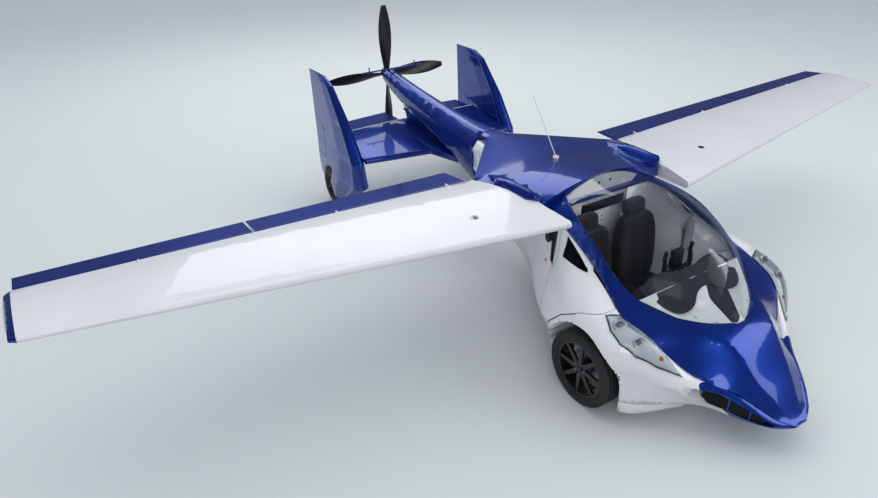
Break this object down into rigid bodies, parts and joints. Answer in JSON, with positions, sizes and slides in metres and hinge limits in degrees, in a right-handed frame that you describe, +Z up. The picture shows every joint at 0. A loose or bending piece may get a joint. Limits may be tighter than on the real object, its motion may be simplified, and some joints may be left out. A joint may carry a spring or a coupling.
{
  "type": "flying car",
  "caption": "Two-seat road-going light aircraft with a teardrop cabin, straight wings, a slim boom, twin tail fins and a pusher propeller.",
  "frame": {"origin": "on the ground below the middle of the bounding box", "axes": "+X to the nose, +Y to the left wing tip, +Z up"},
  "size_m": [5.78, 8.32, 2.032],
  "materials": {
    "paint_blue": "gloss metallic",
    "paint_white": "gloss",
    "screen_glass": "clear",
    "dark_glass": "tinted",
    "black_plastic": "satin",
    "black_leather": "semi gloss",
    "tyre": "matt",
    "alloy_black": "gloss black",
    "steel": "machined",
    "cast_grey": "cast"
  },
  "bodies": {
    "airframe": {"antenna": "steel", "bulkhead": "black_plastic", "crossbar": "paint_blue", "dashboard": "black_plastic", "engine": "cast_grey", "fender_left": "paint_white", "fender_right": "paint_white", "fin_left": "paint_blue", "fin_right": "paint_blue", "floor_pan": "black_plastic", "lower_arm_left": "black_plastic", "lower_arm_right": "black_plastic", "nose_and_canopy_frame": "paint_blue", "nose_keel": "paint_blue", "rear_axle_left": "steel", "rear_axle_right": "steel", "rear_body": "paint_white", "roof_deck": "paint_blue", "seat_left": "black_leather", "seat_right": "black_leather", "side_post_left": "paint_white", "side_post_right": "paint_white", "tail_boom": "paint_blue", "tail_pylon": "paint_blue", "tailplane": "paint_blue", "tip_cap_left": "paint_blue", "tip_cap_right": "paint_blue", "upper_arm_left": "black_plastic", "upper_arm_right": "black_plastic", "windscreen": "screen_glass", "wing_left": "paint_white", "wing_right": "paint_white", "yoke": "black_plastic"},
    "door_left": {"door_left": "paint_white", "door_window_left": "dark_glass"},
    "flap_left": {"flap_left": "paint_blue"},
    "aileron_left": {"aileron_left": "paint_blue"},
    "elevator_left": {"elevator_left": "paint_blue"},
    "rudder_left": {"rudder_left": "paint_blue"},
    "steering_left": {"knuckle_left": "cast_grey"},
    "front_wheel_left": {"front_tyre_left": "tyre", "front_rim_left": "alloy_black"},
    "rear_wheel_left": {"rear_tyre_left": "tyre", "rear_rim_left": "alloy_black"},
    "door_right": {"door_right": "paint_white", "door_window_right": "dark_glass"},
    "flap_right": {"flap_right": "paint_blue"},
    "aileron_right": {"aileron_right": "paint_blue"},
    "elevator_right": {"elevator_right": "paint_blue"},
    "rudder_right": {"rudder_right": "paint_blue"},
    "steering_right": {"knuckle_right": "cast_grey"},
    "front_wheel_right": {"front_tyre_right": "tyre", "front_rim_right": "alloy_black"},
    "rear_wheel_right": {"rear_tyre_right": "tyre", "rear_rim_right": "alloy_black"},
    "propeller": {"propeller": "black_plastic"}
  },
  "joints": [
    {"name": "door_left", "type": "hinge", "parent": "airframe", "child": "door_left", "pos_m": [1.1, 0.583, 1.07], "axis": [0.9195, 0.1389, -0.3678], "range_deg": [0, 70]},
    {"name": "flap_left", "type": "hinge", "parent": "airframe", "child": "flap_left", "pos_m": [0.2159, 0.884, 1.15534], "axis": [-0.0119, 0.9995, 0.0309], "range_deg": [-30, 0]},
    {"name": "aileron_left", "type": "hinge", "parent": "airframe", "child": "aileron_left", "pos_m": [0.19499, 2.644, 1.2098], "axis": [-0.0119, 0.9995, 0.0309], "range_deg": [-20, 20]},
    {"name": "elevator_left", "type": "hinge", "parent": "airframe", "child": "elevator_left", "pos_m": [-2.296, 0.12, 0.81], "axis": [0, 0.9997, -0.0224], "range_deg": [-20, 20]},
    {"name": "rudder_left", "type": "hinge", "parent": "airframe", "child": "rudder_left", "pos_m": [-2.44, 0.985, 0.75], "axis": [0, 0, 1], "range_deg": [-20, 20]},
    {"name": "steering_left", "type": "hinge", "parent": "airframe", "child": "steering_left", "pos_m": [1.75, 0.791, 0.295], "axis": [0, 0, 1], "range_deg": [-22, 22]},
    {"name": "front_wheel_left", "type": "hinge", "parent": "steering_left", "child": "front_wheel_left", "pos_m": [1.75, 0.848, 0.295], "axis": [0, 1, 0], "continuous": true},
    {"name": "rear_wheel_left", "type": "hinge", "parent": "airframe", "child": "rear_wheel_left", "pos_m": [-2.3, 0.985, 0.215], "axis": [0, 1, 0], "continuous": true},
    {"name": "door_right", "type": "hinge", "parent": "airframe", "child": "door_right", "pos_m": [1.1, -0.583, 1.07], "axis": [-0.9195, 0.1389, 0.3678], "range_deg": [0, 70]},
    {"name": "flap_right", "type": "hinge", "parent": "airframe", "child": "flap_right", "pos_m": [0.2159, -0.884, 1.15534], "axis": [0.0119, 0.9995, -0.0309], "range_deg": [-30, 0]},
    {"name": "aileron_right", "type": "hinge", "parent": "airframe", "child": "aileron_right", "pos_m": [0.19499, -2.644, 1.2098], "axis": [0.0119, 0.9995, -0.0309], "range_deg": [-20, 20]},
    {"name": "elevator_right", "type": "hinge", "parent": "airframe", "child": "elevator_right", "pos_m": [-2.296, -0.12, 0.81], "axis": [0, 0.9997, 0.0224], "range_deg": [-20, 20]},
    {"name": "rudder_right", "type": "hinge", "parent": "airframe", "child": "rudder_right", "pos_m": [-2.44, -0.985, 0.75], "axis": [0, 0, 1], "range_deg": [-20, 20]},
    {"name": "steering_right", "type": "hinge", "parent": "airframe", "child": "steering_right", "pos_m": [1.75, -0.791, 0.295], "axis": [0, 0, 1], "range_deg": [-22, 22]},
    {"name": "front_wheel_right", "type": "hinge", "parent": "steering_right", "child": "front_wheel_right", "pos_m": [1.75, -0.848, 0.295], "axis": [0, 1, 0], "continuous": true},
    {"name": "rear_wheel_right", "type": "hinge", "parent": "airframe", "child": "rear_wheel_right", "pos_m": [-2.3, -0.985, 0.215], "axis": [0, 1, 0], "continuous": true},
    {"name": "propeller", "type": "hinge", "parent": "airframe", "child": "propeller", "pos_m": [-2.76, 0, 1.252], "axis": [1, 0, 0], "continuous": true}
  ],
  "couplings": [
    {"joint": "elevator_right", "follows": "elevator_left", "ratio": 1},
    {"joint": "rudder_right", "follows": "rudder_left", "ratio": 1},
    {"joint": "steering_right", "follows": "steering_left", "ratio": 1}
  ]
}
